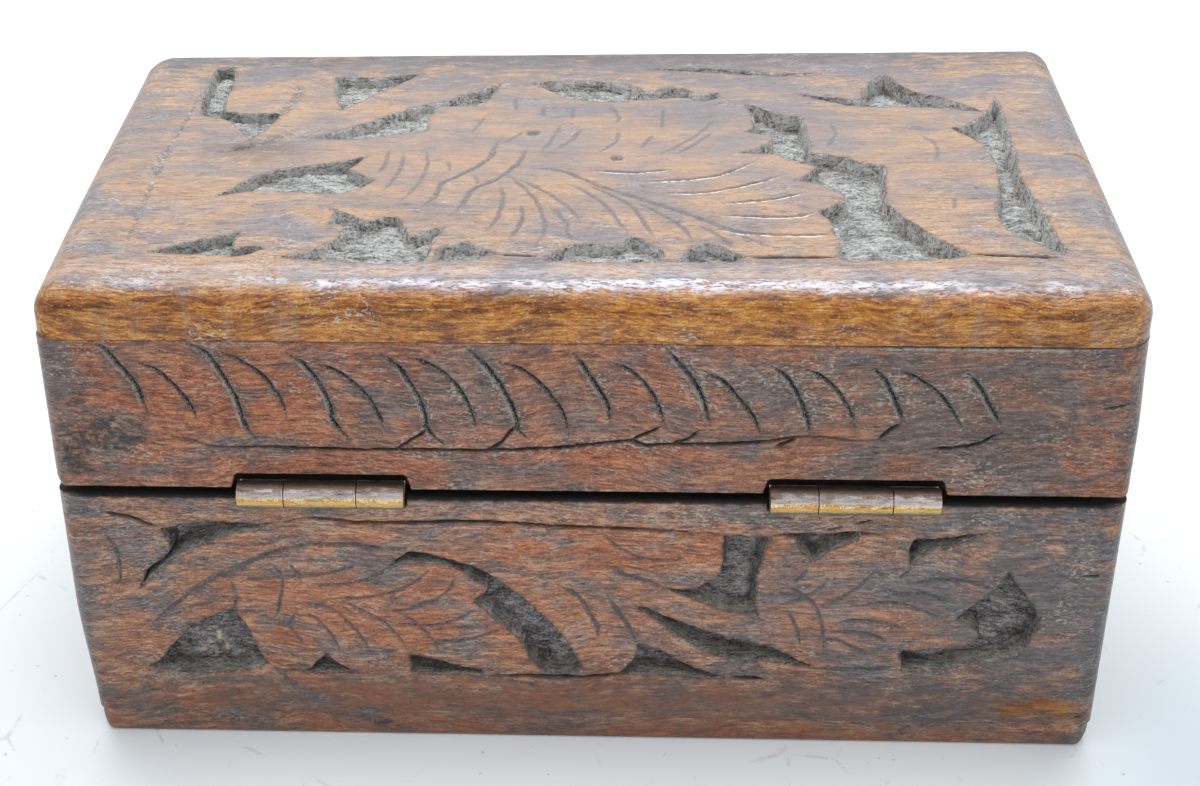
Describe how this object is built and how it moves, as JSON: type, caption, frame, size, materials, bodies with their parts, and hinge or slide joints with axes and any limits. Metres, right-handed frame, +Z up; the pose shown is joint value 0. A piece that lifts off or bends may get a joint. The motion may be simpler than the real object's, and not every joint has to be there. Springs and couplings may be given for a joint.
{
  "type": "keepsake box",
  "caption": "Small carved wooden keepsake box with leaf relief, crescent bands and a lid on two brass butt hinges.",
  "frame": {"origin": "middle of the box's footprint, on the surface that it stands on", "axes": "+X to the right as seen from the front, +Y towards the hinges at the rear, +Z up"},
  "size_m": [0.16, 0.0954, 0.0814],
  "materials": {
    "top_wood": "waxed honey-brown hardwood, worn at the edges",
    "frame_wood": "waxed red-brown hardwood, dusty in the cuts",
    "base_wood": "waxed red-brown hardwood, dusty in the cuts",
    "hinge_brass": "aged brass with brown tarnish",
    "screw_brass": "aged brass, slotted",
    "nail_steel": "dull darkened steel"
  },
  "bodies": {
    "base": {"base_bottom_board": "base_wood", "base_rear_board": "base_wood", "base_front_board": "base_wood", "base_left_board": "base_wood", "base_right_board": "base_wood", "bottom_nails": "nail_steel", "left_hinge_base_leaf": "hinge_brass", "left_hinge_pin": "hinge_brass", "left_hinge_base_screws": "screw_brass", "right_hinge_base_leaf": "hinge_brass", "right_hinge_pin": "hinge_brass", "right_hinge_base_screws": "screw_brass"},
    "lid": {"lid_top_board": "top_wood", "lid_rear_rail": "frame_wood", "lid_front_rail": "frame_wood", "lid_left_rail": "frame_wood", "lid_right_rail": "frame_wood", "left_hinge_lid_leaf": "hinge_brass", "left_hinge_lid_screws": "screw_brass", "right_hinge_lid_leaf": "hinge_brass", "right_hinge_lid_screws": "screw_brass"}
  },
  "joints": [
    {"name": "lid_hinge", "type": "hinge", "parent": "base", "child": "lid", "pos_m": [0, 0.0469, 0.04707], "axis": [-1, 0, 0], "range_deg": [0, 180]}
  ]
}
